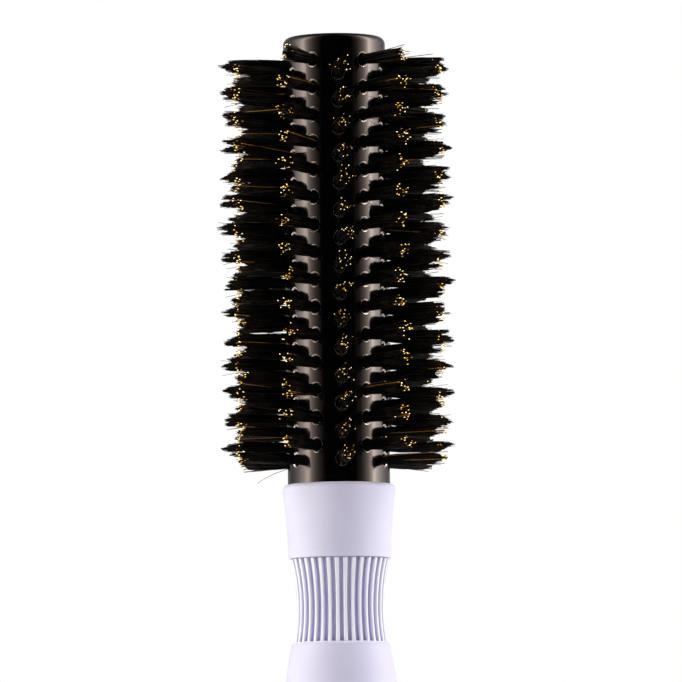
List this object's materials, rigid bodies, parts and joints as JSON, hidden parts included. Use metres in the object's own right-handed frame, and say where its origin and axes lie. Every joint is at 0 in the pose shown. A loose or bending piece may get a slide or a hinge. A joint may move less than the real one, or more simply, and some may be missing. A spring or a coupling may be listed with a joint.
{
  "type": "round barrel brush",
  "caption": "Round hair brush with mixed bristle and filament tufts in staggered rows round a glossy barrel, on a soft-touch handle with a fluted waist.",
  "frame": {"origin": "centre of the flat end of the tail, on the brush's axis", "axes": "+Z along the brush's axis from the tail to the tip of the barrel; one row of tufts points along -Y"},
  "size_m": [0.0588, 0.0588, 0.2479],
  "materials": {
    "barrel_gloss": "high gloss near-black",
    "bristle": "black bristle with amber filaments, satin",
    "anchor_wire": "drawn flat wire",
    "core_plastic": "moulded rigid plastic",
    "pin_steel": "ground",
    "soft_touch": "lilac soft-touch, matte"
  },
  "bodies": {
    "root": {"barrel": "barrel_gloss", "tuft_row_01": "bristle", "tuft_row_02": "bristle", "tuft_row_03": "bristle", "tuft_row_04": "bristle", "tuft_row_05": "bristle", "tuft_row_06": "bristle", "tuft_row_07": "bristle", "tuft_row_08": "bristle", "tuft_row_09": "bristle", "tuft_row_10": "bristle", "tuft_row_11": "bristle", "tuft_row_12": "bristle", "anchor_row_01": "anchor_wire", "anchor_row_02": "anchor_wire", "anchor_row_03": "anchor_wire", "anchor_row_04": "anchor_wire", "anchor_row_05": "anchor_wire", "anchor_row_06": "anchor_wire", "anchor_row_07": "anchor_wire", "anchor_row_08": "anchor_wire", "anchor_row_09": "anchor_wire", "anchor_row_10": "anchor_wire", "anchor_row_11": "anchor_wire", "anchor_row_12": "anchor_wire", "handle_core": "core_plastic", "tenon_pin": "pin_steel", "front_collar": "soft_touch", "ribbed_sleeve": "soft_touch", "rear_grip": "soft_touch", "tail_cap": "soft_touch"}
  },
  "joints": []
}
